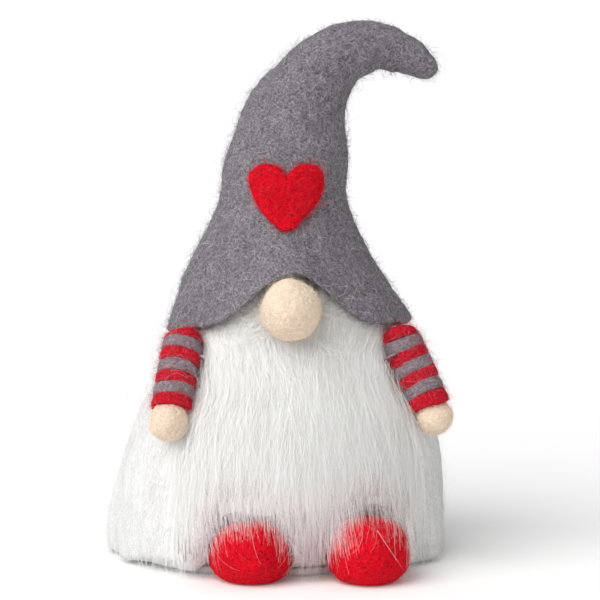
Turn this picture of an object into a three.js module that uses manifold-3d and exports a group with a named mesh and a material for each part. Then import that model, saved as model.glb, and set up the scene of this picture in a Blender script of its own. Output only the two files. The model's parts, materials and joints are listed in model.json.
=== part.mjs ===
// Tomte gnome figurine: a hand-felted wool gnome with a tall hat whose tip curls over, a long
// beard, striped arms and two round feet. Millimetres, +Z up, the face towards -Y and the gnome's
// left hand towards +X. The origin is the centre of the underside that it stands on.

import * as THREE from 'three'
import { mergeVertices } from 'three/addons/utils/BufferGeometryUtils.js'
import Module from 'manifold-3d'

const wasm = await Module()
wasm.setup()

// ---------------------------------------------------------------- driving dimensions

const GAP = 0.3 // clearance between neighbouring pieces
const FELT = 3.5 // thickness of the felt of the robe and the hat
const DEPTH = 0.93 // front-to-back size over side-to-side size
const FACE_TURN = -0.08 // the head looks a little towards -X, radians from -Y

const ROBE_HEM_Z = 0.8
const ROBE_NECK_Z = 104
const NECK_RADIUS = 12
const ROBE_LEAN = 0.075 // sideways shift of the robe's axis for each mm of height
const BASE_RADIUS = 59.5
const BASE_THICKNESS = 3
const CORE_TOP_Z = 92
const HEAD_X = 3.7 // middle of the head, which is set off towards the +X side

const HAT_RIM_Z = 96
const HAT_RIM_TILT = 0.03 // the rim is higher on the +X side
const HAT_ARCH = 27 // rise of the brim over the nose
const HAT_ARCH_TOP = 150 // height at which the arch has died out

// Places along the hat are counted in stations, listed with the hat's shape below.
const TIP_PIVOT = 6.1
const TIP_CREASE = 0.29 // half the opening between crown and tip
const TIP_BALL_RADIUS = 12.5
const HAT_HOLLOW_END = 4.75
const STUFFING_START = 3.05
const STUFFING_END = 4.4
const WIRE_RADIUS = 0.8

const NOSE_RADIUS = 12.6
const NOSE_CENTRE = [2.1, -50, 108]

const HEART_WIDTH = 31
const HEART_HEIGHT = 27
const HEART_THICKNESS = 3.4
const HEART_CENTRE_Z = 152
const HEART_HAT_RADIUS = 28 // the hat's radius behind the heart

const FOOT_HEIGHT = 25

const BEARD_LOCKS = 6
const BEARD_TOP_Z = 94
const BEARD_SIDE_DROP = 13 // the top edge is this much lower at the beard's sides
const BEARD_END_Z = 4
const BEARD_LEFT = -0.63 // edges of the beard, radians from -Y
const BEARD_RIGHT = 0.66
const UNDERLAYER = 2.4 // thickness of the short wool under the locks
const LOCK = 4.2 // thickness of a lock
const LOCK_GAP = 0.012 // between two locks, radians

const ARM_RADIUS = 8.3
const ARM_BANDS = 7
const ARM_CORE_RADIUS = 4.2
const ARM_DOME = 10.9 // height of the round shoulder above its pivot
const ARM_CROWN = 9.8 // the wound bands start this far above the pivot
const WRIST_PEG = { radius: 2, length: 3 }
const THREAD_RADIUS = 0.6

const FINE = 32 // facets around the hat and the robe
const MEDIUM = 20
const COARSE = 12

// ---------------------------------------------------------------- materials

function felt(colour) {
  return new THREE.MeshStandardMaterial({ color: colour, roughness: 0.95, metalness: 0 })
}

const materials = {
  greyFelt: felt(0x7b767b),
  whiteFelt: felt(0xf1f0ef),
  redFelt: felt(0xd4182b),
  skinFelt: felt(0xefd9c0),
  whiteFibre: felt(0xf6f6f1),
  redRoving: felt(0xc02334),
  greyRoving: felt(0x857a82),
  stuffing: felt(0xe8e2d6),
  cotton: felt(0xd8d2c4),
  grit: new THREE.MeshStandardMaterial({ color: 0x8d8377, roughness: 0.9, metalness: 0 }),
  wire: new THREE.MeshStandardMaterial({ color: 0xb4b6b8, roughness: 0.35, metalness: 0.9 }),
}

// ---------------------------------------------------------------- helpers

const figurine = new THREE.Group()

function place(name, geometry, material, parent = figurine) {
  const mesh = new THREE.Mesh(geometry, material)
  mesh.name = name
  parent.add(mesh)
  return mesh
}

// Moves every vertex of a geometry to move(x, y, z), which returns a Vector3.
function warp(geometry, move) {
  const position = geometry.attributes.position
  for (let i = 0; i < position.count; i += 1) {
    const moved = move(position.getX(i), position.getY(i), position.getZ(i))
    position.setXYZ(i, moved.x, moved.y, moved.z)
  }
  geometry.computeVertexNormals()
  return geometry
}

// A solid of revolution about +Z from [radius, height] points, listed upwards on the outside.
function lathe(profile, segments, move) {
  const points = profile.map(([radius, height]) => new THREE.Vector2(radius, height))
  const geometry = new THREE.LatheGeometry(points, segments)
  geometry.rotateX(Math.PI / 2)
  return move ? warp(geometry, move) : geometry
}

// Points along a smooth line through the given [radius, height] points.
function smooth(points, count) {
  const curve = new THREE.SplineCurve(points.map(([radius, height]) => new THREE.Vector2(radius, height)))
  return curve.getPoints(count).map((point) => [Math.max(point.x, 0), point.y])
}

// The value that a rising function takes at x = target, found by halving.
function solve(rising, low, high, target) {
  let [a, b] = [low, high]
  for (let i = 0; i < 40; i += 1) {
    const middle = (a + b) / 2
    if (rising(middle) < target) a = middle
    else b = middle
  }
  return (a + b) / 2
}

function toSolid(geometry) {
  const bare = new THREE.BufferGeometry()
  bare.setAttribute('position', geometry.attributes.position.clone())
  if (geometry.index) bare.setIndex(geometry.index.clone())
  const welded = mergeVertices(bare, 1e-4)
  const triangles = []
  const index = welded.index.array
  for (let i = 0; i < index.length; i += 3) {
    const [a, b, c] = [index[i], index[i + 1], index[i + 2]]
    if (a !== b && b !== c && c !== a) triangles.push(a, b, c)
  }
  return new wasm.Manifold(new wasm.Mesh({
    numProp: 3,
    vertProperties: new Float32Array(welded.attributes.position.array),
    triVerts: new Uint32Array(triangles),
  }))
}

function toGeometry(solid) {
  const mesh = solid.getMesh()
  const geometry = new THREE.BufferGeometry()
  geometry.setAttribute('position', new THREE.BufferAttribute(new Float32Array(mesh.vertProperties), 3))
  geometry.setIndex(new THREE.BufferAttribute(new Uint32Array(mesh.triVerts), 1))
  geometry.computeVertexNormals()
  return geometry
}

function cut(geometry, ...cutters) {
  const cutAway = (solid, cutter) => solid.subtract(toSolid(cutter))
  return toGeometry(cutters.reduce(cutAway, toSolid(geometry)))
}

function join(geometry, other) {
  return toGeometry(toSolid(geometry).add(toSolid(other)))
}

// ---------------------------------------------------------------- the robe's and the hat's shapes

// Outline of the robe above its hem, as [radius, height].
const robeOutline = [
  [70.5, 5], [70.8, 12], [69.2, 28], [65.8, 48], [60.4, 64],
  [50.8, 77], [40, 88.5], [27, 98.5], [NECK_RADIUS, ROBE_NECK_Z],
]
const robeCurve = new THREE.SplineCurve(robeOutline.map(([r, z]) => new THREE.Vector2(r, z)))

function robeRadius(z) {
  const t = solve((s) => robeCurve.getPoint(s).y, 0, 1, z)
  return robeCurve.getPoint(t).x
}

const robeAxis = (z) => ROBE_LEAN * z

// Puts a point of an upright body of revolution on the leaning, slightly flattened robe axis.
function onRobeAxis(x, y, z) {
  return new THREE.Vector3(x + robeAxis(z), DEPTH * y, z)
}

// A point outside the robe at an angle from -Y, a height and a distance from its surface.
function overRobe(angle, z, distance) {
  const radius = robeRadius(z) + distance
  return onRobeAxis(radius * Math.sin(angle), -radius * Math.cos(angle), z)
}

// Stations along the hat's centre line, from the rim to the end of the tip: [x, z, radius].
const hatStations = [
  [6.4, HAT_RIM_Z, 52.6], [4.2, 115, 44.3], [2.9, 132, 35.2], [3.8, 149, 27.4],
  [5.4, 166, 26.2], [8.6, 184, 22.8], [15.8, 199.5, 17.2], [27.6, 209.8, 13.4],
  [41.4, 213.4, 10.8], [53.6, 211.4, 9.2], [61.6, 207.2, 7.2], [68.6, 201.6, 2.6],
]
const lastStation = hatStations.length - 1
const hatAxis = new THREE.CatmullRomCurve3(
  hatStations.map(([x, z]) => new THREE.Vector3(x, 0, z)), false, 'catmullrom', 0.5,
)
const hatRadii = new THREE.SplineCurve(hatStations.map(([, , radius], i) => new THREE.Vector2(i, radius)))
const hatRadius = (station) => hatRadii.getPoint(station / lastStation).y

// How far the rim is lifted over the nose, at an angle from the face.
function archRise(angle) {
  const narrow = Math.exp(-((angle / 0.38) ** 2))
  const wide = Math.exp(-((angle / 0.79) ** 2))
  return HAT_ARCH * (0.58 * narrow + 0.42 * wide)
}

// Puts a lathe point, whose height counts stations, on the hat's curved centre line. Sections are
// level in the lower half and square to the centre line in the tip.
function onHatAxis(x, y, station) {
  const t = THREE.MathUtils.clamp(station / lastStation, 0, 1)
  const centre = hatAxis.getPoint(t)
  const tangent = hatAxis.getTangent(t)
  const across = new THREE.Vector3(1, 0, 0)
  across.lerp(new THREE.Vector3(tangent.z, 0, -tangent.x), THREE.MathUtils.smoothstep(station, 3, 6))
  const flat = THREE.MathUtils.lerp(DEPTH, 1, Math.min(station / 4, 1))
  return centre.addScaledVector(across.normalize(), x).add(new THREE.Vector3(0, flat * y, 0))
}

// The same, with the rim lifted over the nose.
function onArchedHat(x, y, station) {
  const point = onHatAxis(x, y, station)
  if (point.z >= HAT_ARCH_TOP) return point
  const angle = Math.atan2(x, -y) - FACE_TURN
  const fade = ((HAT_ARCH_TOP - point.z) / (HAT_ARCH_TOP - HAT_RIM_Z)) ** 1.4
  point.z += (archRise(angle) + HAT_RIM_TILT * x) * fade
  return point
}

// The station at which the hat's surface has a given height, at an angle from -Y.
function hatStationAt(z, angle) {
  const height = (station) => {
    const radius = hatRadius(station)
    return onArchedHat(radius * Math.sin(angle), -radius * Math.cos(angle), station).z
  }
  return solve(height, 0, 5, z)
}

// [radius, station] points between two stations, with the radius reduced by inset.
function hatLine(from, to, steps, inset = 0) {
  const line = []
  for (let i = 0; i <= steps; i += 1) {
    const station = THREE.MathUtils.lerp(from, to, i / steps)
    line.push([hatRadius(station) - inset, station])
  }
  return line
}

// ---------------------------------------------------------------- feet

const feet = [
  { name: 'foot_left', x: -14.6, y: -56, halfWidth: 17.4, halfDepth: 19.5 },
  { name: 'foot_right', x: 31.9, y: -62, halfWidth: 17.4, halfDepth: 20 },
]

function footGeometry(foot, grow) {
  const profile = smooth([[0.72, 0.03], [0.93, 0.2], [1, 0.44], [0.9, 0.74], [0.58, 0.95], [0, 1.01]], 7)
  const outline = [[0, 0], [0.7, 0], ...profile]
  const [rx, ry] = [foot.halfWidth + grow, foot.halfDepth + grow]
  return lathe(outline, MEDIUM, (x, y, z) => new THREE.Vector3(
    foot.x + rx * x, foot.y + ry * y, z > 0 ? (FOOT_HEIGHT + grow) * z : -grow,
  ))
}

for (const foot of feet) place(foot.name, footGeometry(foot, 0), materials.redFelt)

const footRoom = feet.map((foot) => footGeometry(foot, 2 * GAP))

// ---------------------------------------------------------------- robe, stuffing, weight and base

// The robe's inner wall, moved further in by extra.
function robeInside(extra) {
  const inset = FELT + extra
  const wall = smooth(robeOutline.slice(1), 10).map(([radius, z]) => [radius - inset, z - 0.6 * inset])
  return wall.filter(([radius]) => radius > NECK_RADIUS + 1)
}

function robeGeometry() {
  const hemInside = BASE_RADIUS + 2 * GAP
  const hem = [[hemInside, ROBE_HEM_Z], [67.5, ROBE_HEM_Z], [69.6, 2.6]]
  const neck = [NECK_RADIUS, ROBE_NECK_Z - FELT]
  const profile = [...hem, ...smooth(robeOutline, 11), neck, ...robeInside(0).reverse(), hem[0]]
  return lathe(profile, FINE, onRobeAxis)
}

place('robe', cut(robeGeometry(), ...footRoom), materials.whiteFelt)

const base = lathe([
  [0, 0], [BASE_RADIUS - 1, 0], [BASE_RADIUS, 1], [BASE_RADIUS, BASE_THICKNESS], [0, BASE_THICKNESS],
], FINE, onRobeAxis)
place('base_disc', cut(base, ...footRoom), materials.whiteFelt)

// The weight bag stands on the base disc, in a pocket of the stuffing that is open below.
const bag = { radius: 30, height: 26, neckRadius: 7, neckTop: 34, cloth: 0.8 }
const floorZ = BASE_THICKNESS + GAP

function bagOutline(inset) {
  return smooth([
    [0.8 * bag.radius, floorZ + inset], [bag.radius - inset, floorZ + 5],
    [bag.radius - inset, floorZ + 13], [0.7 * bag.radius - inset, bag.height - inset],
    [bag.neckRadius - inset, bag.height + 4],
  ], 6)
}

place('weight_bag', lathe([
  [0, floorZ], ...bagOutline(0), [bag.neckRadius + 1.5, bag.neckTop],
  [bag.neckRadius + 0.7, bag.neckTop], ...bagOutline(bag.cloth).reverse(), [0, floorZ + bag.cloth],
], MEDIUM), materials.cotton)

const gritInset = bag.cloth + GAP
const gritOutline = bagOutline(gritInset).slice(0, -2)
const gritTop = gritOutline[gritOutline.length - 1][1]
place('weight_grit', lathe([
  [0, floorZ + gritInset], ...gritOutline, [0, gritTop],
], MEDIUM), materials.grit)

const tie = new THREE.TorusGeometry(bag.neckRadius + 1.3, 0.8, 5, MEDIUM)
tie.translate(0, 0, bag.height + 4.5)
place('bag_tie', tie, materials.cotton)

const coreWall = robeInside(GAP).filter(([, z]) => z < CORE_TOP_Z - 2)
const coreTopRadius = coreWall[coreWall.length - 1][0] - 10
const pocketRadius = bag.radius + 5
place('body_core', cut(lathe([
  [pocketRadius, floorZ], [BASE_RADIUS - 3, floorZ], ...coreWall, [coreTopRadius, CORE_TOP_Z],
  [0, CORE_TOP_Z], [0, bag.neckTop + 5], [bag.neckRadius + 6, bag.neckTop + 5], [pocketRadius, bag.height],
  [pocketRadius, floorZ],
], FINE, onRobeAxis), ...footRoom), materials.stuffing)

// ---------------------------------------------------------------- head, nose and heart

const headOutline = smooth([
  [24, ROBE_NECK_Z + 0.6], [33, 108.5], [36, 115], [33.5, 123], [27.5, 131], [17, 138], [0, 141.5],
], 9)
place('head_ball', lathe([
  [0, CORE_TOP_Z + GAP], [NECK_RADIUS - GAP, CORE_TOP_Z + GAP], [NECK_RADIUS - GAP, ROBE_NECK_Z + 0.6],
  ...headOutline,
], MEDIUM, (x, y, z) => {
  const bend = THREE.MathUtils.smoothstep(z, ROBE_NECK_Z, 118)
  const centre = THREE.MathUtils.lerp(robeAxis(Math.min(z, ROBE_NECK_Z)), HEAD_X, bend)
  return new THREE.Vector3(x + centre, DEPTH * y, z)
}), materials.whiteFelt)

const nose = new THREE.SphereGeometry(NOSE_RADIUS, MEDIUM, 12)
nose.rotateX(Math.PI / 2)
nose.translate(...NOSE_CENTRE)
place('nose', nose, materials.skinFelt)

// The heart is drawn in the flat, 2 wide and 2 high about its middle, and wrapped on the hat.
function heartGeometry() {
  const outline = new THREE.Shape()
  outline.moveTo(0, -1)
  outline.bezierCurveTo(-0.3, -0.72, -1, -0.25, -1, 0.38)
  outline.bezierCurveTo(-1, 0.78, -0.74, 1, -0.48, 1)
  outline.bezierCurveTo(-0.24, 1, -0.06, 0.86, 0, 0.66)
  outline.bezierCurveTo(0.06, 0.86, 0.24, 1, 0.48, 1)
  outline.bezierCurveTo(0.74, 1, 1, 0.78, 1, 0.38)
  outline.bezierCurveTo(1, -0.25, 0.3, -0.72, 0, -1)
  const flat = new THREE.ExtrudeGeometry(outline, {
    depth: 0.55, bevelEnabled: true, bevelThickness: 0.45, bevelSize: 0.13, bevelOffset: -0.13,
    bevelSegments: 1, curveSegments: 5,
  })
  const slices = toSolid(flat).refineToLength(0.5)
  return warp(toGeometry(slices), (x, y, depth) => {
    const z = HEART_CENTRE_Z + (HEART_HEIGHT / 2) * y
    const angle = FACE_TURN + ((HEART_WIDTH / 2) * x) / HEART_HAT_RADIUS
    const station = hatStationAt(z, angle)
    const lift = hatRadius(station) + 4 * GAP + ((depth + 0.45) / 1.45) * HEART_THICKNESS
    return onArchedHat(lift * Math.sin(angle), -lift * Math.cos(angle), station)
  })
}

place('heart', heartGeometry(), materials.redFelt)

// ---------------------------------------------------------------- hat, its stuffing and its wire

const pivot = onHatAxis(0, 0, TIP_PIVOT)
const ball = new THREE.SphereGeometry(TIP_BALL_RADIUS, MEDIUM, 10)
ball.translate(pivot.x, pivot.y, pivot.z)
const socket = new THREE.SphereGeometry(TIP_BALL_RADIUS + 0.4, MEDIUM, 10)
socket.translate(pivot.x, pivot.y, pivot.z)

const CROWN_END = TIP_PIVOT - TIP_CREASE
const TIP_START = TIP_PIVOT + TIP_CREASE
const BORE_RADIUS = WIRE_RADIUS + GAP

const hatShell = lathe([
  ...hatLine(0, CROWN_END, 11), [0, CROWN_END], [0, HAT_HOLLOW_END],
  [0.6 * hatRadius(HAT_HOLLOW_END), HAT_HOLLOW_END - 0.05],
  ...hatLine(0, HAT_HOLLOW_END - 0.3, 8, FELT).reverse(),
  [hatRadius(0), 0],
], FINE, onArchedHat)
place('hat', cut(hatShell, socket), materials.greyFelt)

place('hat_stuffing', lathe([
  [BORE_RADIUS, STUFFING_START], [0.7 * hatRadius(STUFFING_START), STUFFING_START],
  ...hatLine(STUFFING_START + 0.12, STUFFING_END, 6, FELT + 2 * GAP), [BORE_RADIUS, STUFFING_END],
  [BORE_RADIUS, STUFFING_START],
], MEDIUM, onHatAxis), materials.stuffing)

function wireGeometry(radius, from, to, steps) {
  const side = []
  for (let i = 0; i <= steps; i += 1) side.push([radius, THREE.MathUtils.lerp(from, to, i / steps)])
  return lathe([[0, from], ...side, [0, to]], COARSE, onHatAxis)
}

place('hat_wire', wireGeometry(WIRE_RADIUS, STUFFING_START + 0.1, STUFFING_END + 0.1, 5), materials.wire)

const tipEnd = smooth([
  [hatRadius(lastStation - 0.6), lastStation - 0.6], [0.92 * hatRadius(lastStation), lastStation - 0.12],
  [0, lastStation],
], 4)
const tipOutside = lathe([
  [0, TIP_START], ...hatLine(TIP_START, lastStation - 0.75, 8), ...tipEnd,
], MEDIUM, onHatAxis)
const TIP_WIRE_START = TIP_PIVOT - 0.1
const TIP_WIRE_END = lastStation - 1
const tipBore = wireGeometry(BORE_RADIUS, TIP_PIVOT - 1.2, TIP_WIRE_END + 0.1, 9)
place('hat_tip', cut(join(tipOutside, ball), tipBore), materials.greyFelt)
place('tip_wire', wireGeometry(WIRE_RADIUS, TIP_WIRE_START, TIP_WIRE_END, 8), materials.wire)

// ---------------------------------------------------------------- beard

// A slab of wool over the front of the robe: a box whose width runs round the robe, whose height
// runs down from topZ to endZ and whose depth runs outwards from near to far.
function beardSlab(from, to, columns, rows, edges) {
  const box = new THREE.BoxGeometry(1, 1, 1, columns, rows, 1)
  return warp(box, (x, y, z) => {
    const angle = THREE.MathUtils.lerp(from, to, x + 0.5)
    const down = 0.5 - y
    const height = THREE.MathUtils.lerp(edges.topZ(angle), edges.endZ(angle), down)
    const distance = THREE.MathUtils.lerp(edges.near, edges.far(down), z + 0.5)
    return overRobe(angle, height, distance)
  })
}

// The top edge dips under the nose and towards the sides, where it has to clear the robe's shoulder
// as the beard is lifted, and the lower edge lies over the feet.
function beardTop(angle) {
  const noseDip = 7 * Math.exp(-(((angle - FACE_TURN) / 0.27) ** 2))
  return BEARD_TOP_Z - noseDip - BEARD_SIDE_DROP * (angle / BEARD_RIGHT) ** 2
}

function beardEnd(angle) {
  const overFoot = Math.max(...feet.map((foot) => {
    const footAngle = Math.atan2(foot.x, -foot.y)
    return Math.exp(-(((angle - footAngle) / 0.34) ** 4))
  }))
  return BEARD_END_Z + (FOOT_HEIGHT + 3 - BEARD_END_Z) * overFoot
}

place('beard_underlayer', beardSlab(BEARD_LEFT, BEARD_RIGHT, 2 * BEARD_LOCKS, 7, {
  topZ: beardTop, endZ: beardEnd, near: 2 * GAP, far: () => 2 * GAP + UNDERLAYER,
}), materials.whiteFibre)

const lockNear = 4 * GAP + UNDERLAYER
const lockWidth = (BEARD_RIGHT - BEARD_LEFT) / BEARD_LOCKS
for (let i = 0; i < BEARD_LOCKS; i += 1) {
  const from = BEARD_LEFT + i * lockWidth
  place(`beard_lock_${i + 1}`, beardSlab(from, from + lockWidth - LOCK_GAP, 2, 7, {
    topZ: beardTop, endZ: (angle) => beardEnd(angle) + 1.5,
    near: lockNear, far: (down) => lockNear + LOCK * (1 - 0.55 * down ** 3),
  }), materials.whiteFibre)
}

// The strip where the beard is felted on, between the robe's shoulder and the brim.
place('beard_root', beardSlab(-0.42, 0.36, 8, 1, {
  topZ: () => 100, endZ: () => 95.5, near: 4 * GAP, far: () => 6,
}), materials.whiteFibre)

// ---------------------------------------------------------------- arms

const arms = [
  { side: 'left', pivot: [-41.2, -31, 88], hand: [-47, -46, 63], handRadius: 8.3 },
  { side: 'right', pivot: [51.4, -33, 88.6], hand: [62.4, -41, 62.6], handRadius: 7.4 },
]

// The arm's outline: a domed shoulder above the pivot, then straight down to the wrist.
function armRadius(z) {
  return z > 0 ? ARM_RADIUS * Math.sqrt(1 - (z / ARM_DOME) ** 2) : ARM_RADIUS
}

// A bulging ring of roving round the arm's core.
function bandGeometry(top, bottom) {
  const inner = ARM_CORE_RADIUS + GAP
  const outside = [0, 0.2, 0.5, 0.8, 1].map((part) => {
    const z = THREE.MathUtils.lerp(bottom, top, part)
    const bulge = 0.86 + 0.14 * Math.sqrt(Math.sin(Math.PI * part))
    return [Math.max(bulge * armRadius(z), inner + 0.5), z]
  })
  return lathe([[inner, bottom], ...outside, [inner, top], [inner, bottom]], COARSE)
}

// A felt ball with a socket on top for the wrist's peg, its centre on the origin.
function handGeometry(radius) {
  const palm = []
  for (let angle = Math.PI / 8; angle < 0.9 * Math.PI; angle += Math.PI / 8) {
    palm.push([radius * Math.sin(angle), -radius * Math.cos(angle)])
  }
  const socket = WRIST_PEG.radius + GAP
  const mouth = Math.sqrt(radius ** 2 - socket ** 2)
  const bottom = mouth - WRIST_PEG.length - GAP
  return lathe([[0, -radius], ...palm, [socket, mouth], [socket, bottom], [0, bottom]], MEDIUM)
}

function armCoreGeometry(wrist) {
  const { radius, length } = WRIST_PEG
  const crown = ARM_CROWN - 0.4
  return lathe([
    [0, wrist - length], [radius, wrist - length], [radius, wrist + GAP], [ARM_CORE_RADIUS, wrist + GAP],
    [ARM_CORE_RADIUS, crown - 2.5], [0.6 * ARM_CORE_RADIUS, crown - 0.5], [0, crown],
  ], COARSE)
}

// A thread through the shoulder, along Y, whose ends turn back to the robe, towards +X.
function threadGeometry() {
  const side = ARM_RADIUS + 1.6
  const back = ARM_RADIUS - 2.4
  const corner = [[back, side], [2.2, side], [0.4, side - 0.5], [0, side - 2]]
  const route = [
    ...corner.map(([x, y]) => new THREE.Vector3(x, -y, 0)), new THREE.Vector3(0, 0, 0),
    ...corner.reverse().map(([x, y]) => new THREE.Vector3(x, y, 0)),
  ]
  const section = new THREE.Shape()
  section.absarc(0, 0, THREAD_RADIUS, 0, 2 * Math.PI)
  return new THREE.ExtrudeGeometry(section, {
    extrudePath: new THREE.CatmullRomCurve3(route), steps: 16, curveSegments: 3, bevelEnabled: false,
  })
}

// Each arm is built hanging along -Z from its pivot, with +X towards the robe and its hinge along Y.
for (const arm of arms) {
  const shoulder = new THREE.Vector3(...arm.pivot)
  const up = shoulder.clone().sub(new THREE.Vector3(...arm.hand))
  const reach = up.length()
  up.normalize()
  const hinge = new THREE.Vector3(0, 0, 1).cross(up).normalize()
  const inward = hinge.clone().cross(up)
  const group = new THREE.Group()
  group.position.copy(shoulder)
  group.quaternion.setFromRotationMatrix(new THREE.Matrix4().makeBasis(inward, hinge, up))
  figurine.add(group)

  const wrist = arm.handRadius - reach
  const bore = new THREE.CylinderGeometry(THREAD_RADIUS + GAP, THREAD_RADIUS + GAP, 4 * ARM_RADIUS, COARSE)
  place(`arm_core_${arm.side}`, cut(armCoreGeometry(wrist), bore), materials.greyRoving, group)

  const pitch = (ARM_CROWN - wrist - GAP) / ARM_BANDS
  for (let i = 0; i < ARM_BANDS; i += 1) {
    const top = ARM_CROWN - i * pitch
    const bottom = top - pitch + GAP
    const colour = i % 2 === 0 ? 'red' : 'grey'
    const band = bandGeometry(top, bottom)
    const reachesBore = top > -THREAD_RADIUS - GAP && bottom < THREAD_RADIUS + GAP
    const name = `${colour}_band_${arm.side}_${Math.floor(i / 2) + 1}`
    place(name, reachesBore ? cut(band, bore) : band, materials[`${colour}Roving`], group)
  }

  const hand = handGeometry(arm.handRadius)
  hand.translate(0, 0, -reach)
  place(`hand_${arm.side}`, hand, materials.skinFelt, group)
  place(`shoulder_thread_${arm.side}`, threadGeometry(), materials.cotton, group)
}

export default figurine
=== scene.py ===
import itertools
import json
import math

import bmesh
import bpy
import numpy as np
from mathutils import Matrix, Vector


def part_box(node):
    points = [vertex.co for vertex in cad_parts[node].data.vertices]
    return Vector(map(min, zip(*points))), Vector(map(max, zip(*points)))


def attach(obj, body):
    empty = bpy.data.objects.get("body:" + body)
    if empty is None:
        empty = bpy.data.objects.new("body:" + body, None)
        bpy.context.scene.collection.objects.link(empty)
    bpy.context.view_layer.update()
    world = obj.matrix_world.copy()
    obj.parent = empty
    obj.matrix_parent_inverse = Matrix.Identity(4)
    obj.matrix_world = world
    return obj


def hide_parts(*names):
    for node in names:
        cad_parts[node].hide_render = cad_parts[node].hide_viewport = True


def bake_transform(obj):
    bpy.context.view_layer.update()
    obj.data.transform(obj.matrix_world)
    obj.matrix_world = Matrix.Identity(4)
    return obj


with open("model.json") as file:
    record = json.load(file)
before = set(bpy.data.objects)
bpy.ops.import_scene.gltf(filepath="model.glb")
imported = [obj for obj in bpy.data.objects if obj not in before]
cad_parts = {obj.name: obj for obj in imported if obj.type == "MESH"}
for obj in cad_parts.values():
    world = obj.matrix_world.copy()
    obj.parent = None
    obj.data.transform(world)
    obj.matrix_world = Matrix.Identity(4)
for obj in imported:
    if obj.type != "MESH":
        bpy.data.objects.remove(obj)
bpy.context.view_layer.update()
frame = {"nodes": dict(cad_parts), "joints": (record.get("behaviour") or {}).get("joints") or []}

# Looks of the tomte gnome figurine. Shapes are worked out in millimetres in the frame's own axes
# and turned into metres as each mesh is made. Angles round the figure start at the face, -Y, and
# grow towards +X.

MM = 0.001

# ---------------------------------------------------------------- driving dimensions

DEPTH = 0.93  # front-to-back size over side-to-side size
FACE_TURN = -0.08
FELT = 3.5
BRIM = 4.2  # thickness of the hat's rolled edge

ROBE_LEAN = 0.075
ROBE_OUTLINE = [
    (12, 104), (27, 98.5), (40, 88.5), (50.8, 77), (60.4, 64),
    (65.8, 48), (69.2, 28), (70.8, 12), (70.5, 5),
]  # radius and height
ROBE_HEM = [(70.0, 2.6), (68.6, 1.1), (66.5, 0.8), (63.0, 0.9), (60.4, 1.2)]
HEM_TUCK = 4.8  # the hem is rounded up this far at the front on the -X side
HEM_OVER_FEET = 26  # how far the hem is raised over each foot
HEM_BETWEEN_FEET = 9
HEM_FADE = 52  # below this height the hem's rise draws the robe up with it
ROBE_TOP = 104

HAT_STATIONS = [
    (6.4, 96, 52.6), (4.2, 115, 43.4), (2.9, 132, 34.2), (3.8, 149, 27.4),
    (5.4, 166, 26.2), (9.2, 184, 22.4), (17.6, 199.5, 17.0), (28.4, 209.8, 13.4),
    (41.4, 213.4, 10.8), (53.2, 210.8, 8.8), (61.2, 206.4, 7.0), (68.4, 201.4, 5.0),
]  # x and height of the centre line, and radius
HAT_RIM_Z = 96
HAT_ARCH = 27
HAT_ARCH_TOP = 150
HAT_RIM_TILT = 0.03
LAST_STATION = len(HAT_STATIONS) - 1

HEART_SIZE = (33, 27)
HEART_SKEW = 0.05  # the lower tip leans towards +X
HEART_CENTRE_Z = 152
HEART_HAT_RADIUS = 28
HEART_THICKNESS = 3.2

BEARD_LOCKS = 6
BEARD_ROOT = 104  # mean height of the fibres' roots
BEARD_UNDER_NOSE = 95.5
BEARD_TONE_TOP = 110  # height at which the beard's colour ramp along its height, painted shade and a painted red reflection, ends


# ---------------------------------------------------------------- numbers and noise


def spline(points, place):
    """Points on the smooth line through points, at places counted from the first of them."""
    points = np.asarray(points, float)
    last = len(points) - 1
    place = np.clip(np.asarray(place, float), 0, last)
    start = np.minimum(place.astype(int), last - 1)
    t = (place - start)[..., None]
    p0, p1, p2, p3 = (points[np.clip(start + k, 0, last)] for k in (-1, 0, 1, 2))
    curve = 2 * p1 + (p2 - p0) * t + (2 * p0 - 5 * p1 + 4 * p2 - p3) * t**2
    return 0.5 * (curve + (3 * p1 - p0 - 3 * p2 + p3) * t**3)


def smoothstep(x, low, high):
    t = np.clip((x - low) / (high - low), 0, 1)
    return t * t * (3 - 2 * t)


def unit(vectors):
    return vectors / np.maximum(np.linalg.norm(vectors, axis=-1, keepdims=True), 1e-9)


def lattice(cells, seed):
    """A repeatable number from 0 to 1 for each whole-number cell."""
    mixed = cells @ np.array([73856093, 19349663, 83492791]) + seed * 40503
    mixed = (mixed ^ (mixed >> 13)) * 1274126177
    mixed = mixed ^ (mixed >> 16)
    return (mixed & 0xFFFF) / 0xFFFF


def noise(points, size, seed=0):
    """Smooth noise from -1 to 1, with features about size across."""
    scaled = points / size
    cell = np.floor(scaled).astype(np.int64)
    part = scaled - cell
    part = part * part * (3 - 2 * part)
    total = np.zeros(len(points))
    for corner in itertools.product((0, 1), repeat=3):
        corner = np.array(corner)
        weight = np.prod(np.where(corner == 1, part, 1 - part), axis=1)
        total += weight * lattice(cell + corner, seed)
    return 2 * total - 1


def pits(points, spacing, radius, seed=0):
    """Depth from 0 to 1 of the round pits that the felting needle leaves."""
    scaled = points / spacing
    cell = np.floor(scaled).astype(np.int64)
    nearest = np.full(len(points), 9.0)
    for step in itertools.product((-1, 0, 1), repeat=3):
        around = cell + np.array(step)
        jitter = np.stack([lattice(around, seed + k) for k in (1, 2, 3)], axis=1)
        nearest = np.minimum(nearest, np.linalg.norm(around + jitter - scaled, axis=1))
    return 1 - smoothstep(nearest * spacing, 0.3 * radius, radius)


def lumps(points, seed=0):
    """The uneven surface of hand-felted wool, from about -1 to 1."""
    return (
        0.5 * noise(points, 9, seed)
        + 0.3 * noise(points, 4, seed + 1)
        + 0.2 * noise(points, 1.9, seed + 2)
    )


# ---------------------------------------------------------------- meshes


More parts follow.
